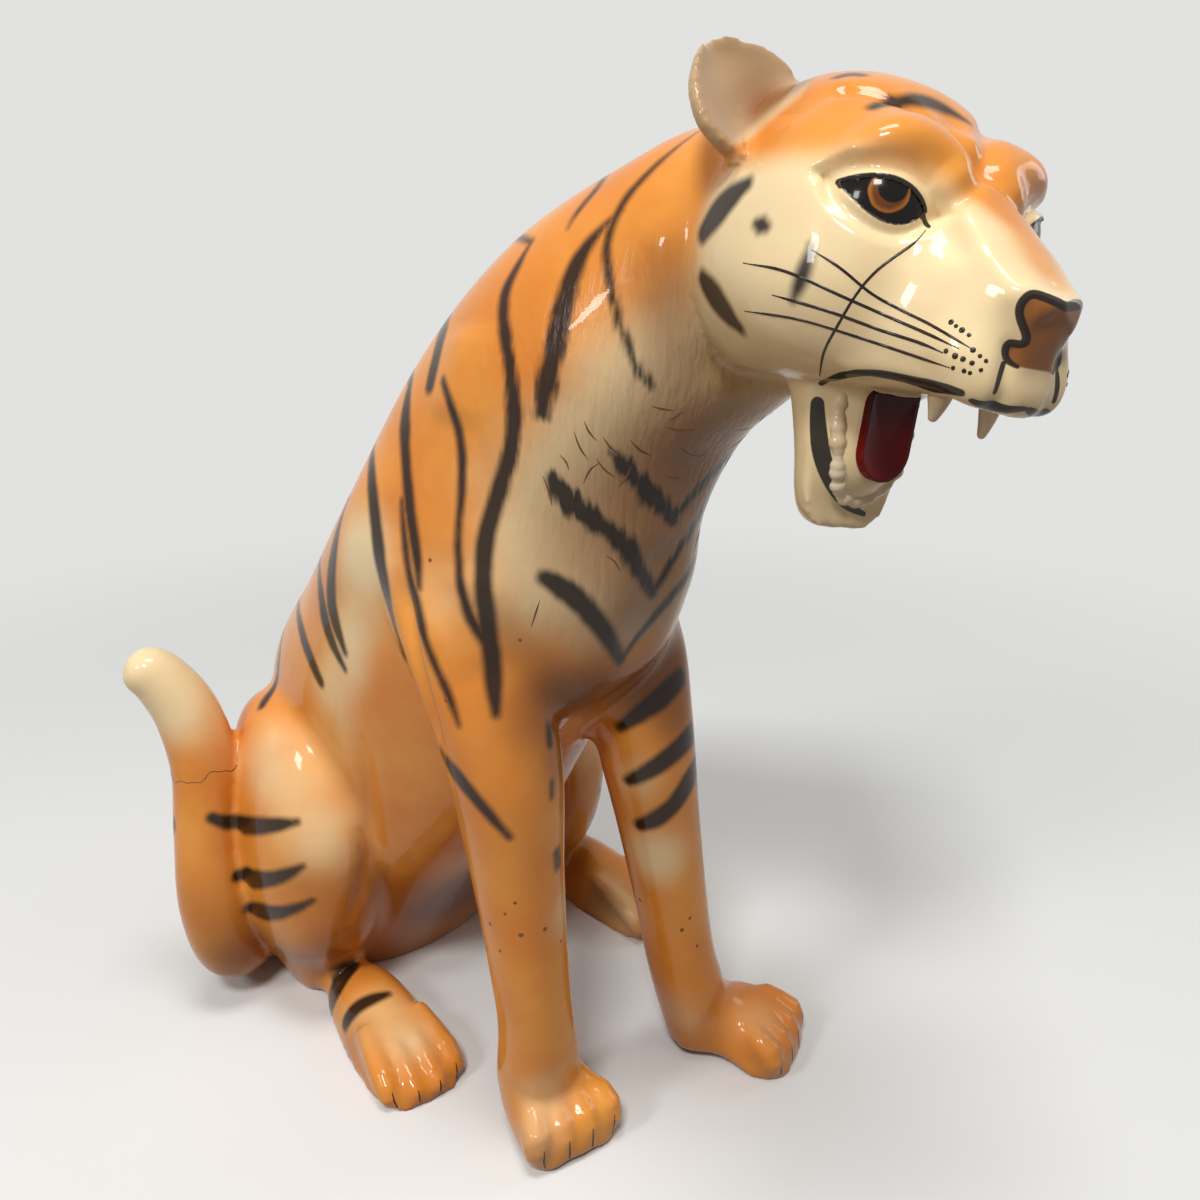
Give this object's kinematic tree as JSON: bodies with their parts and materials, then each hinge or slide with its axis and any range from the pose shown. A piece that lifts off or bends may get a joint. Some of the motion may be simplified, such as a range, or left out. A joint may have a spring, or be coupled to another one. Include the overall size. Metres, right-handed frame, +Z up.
{
  "type": "ceramic tiger statue",
  "caption": "Large glazed ceramic statue of a seated tiger with its mouth open and its tail raised, slip-cast in sections.",
  "frame": {"origin": "on the floor, under the middle of the statue's box", "axes": "+Z up, the animal faces -Y, its left side is +X"},
  "size_m": [0.4541, 0.727, 0.7876],
  "materials": {
    "amber_glaze": "glossy clear glaze over airbrushed amber with dark brown stripes",
    "cream_glaze": "glossy clear glaze over cream",
    "red_glaze": "glossy dark red",
    "white_glaze": "glossy off-white",
    "eye_glaze": "glossy black with an amber iris"
  },
  "bodies": {
    "root": {"torso": "amber_glaze", "head": "amber_glaze", "lower_jaw": "cream_glaze", "mouth_lining": "red_glaze", "lower_teeth": "white_glaze", "left_fang": "white_glaze", "right_fang": "white_glaze", "left_ear": "cream_glaze", "right_ear": "cream_glaze", "left_eye": "eye_glaze", "right_eye": "eye_glaze", "left_foreleg": "amber_glaze", "right_foreleg": "amber_glaze", "left_hind_leg": "amber_glaze", "right_hind_leg": "amber_glaze", "tail": "amber_glaze", "tail_tip": "amber_glaze"}
  },
  "joints": []
}
